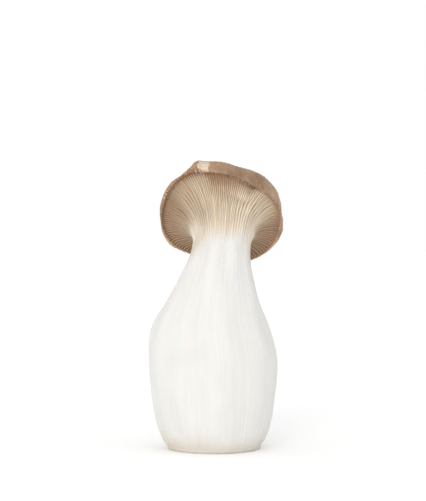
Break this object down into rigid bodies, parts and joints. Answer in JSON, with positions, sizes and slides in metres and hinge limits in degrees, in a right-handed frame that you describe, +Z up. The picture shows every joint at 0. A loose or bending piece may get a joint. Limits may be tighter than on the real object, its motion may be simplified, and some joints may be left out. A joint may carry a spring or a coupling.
{
  "type": "king oyster mushroom",
  "caption": "Whole king oyster mushroom with a swollen pale stem, a tilted brown cap with a rolled margin, gills running onto the neck and a flat cut foot.",
  "frame": {"origin": "centre of the flat cut face at the foot of the stem", "axes": "+Z up the stem from the cut face, -Y towards the side that shows the gills, +X to the right seen from that side"},
  "size_m": [0.0576, 0.0524, 0.1201],
  "materials": {
    "flesh": "matt warm white flesh; the cap's skin is grey brown"
  },
  "bodies": {
    "root": {"mushroom": "flesh"}
  },
  "joints": []
}
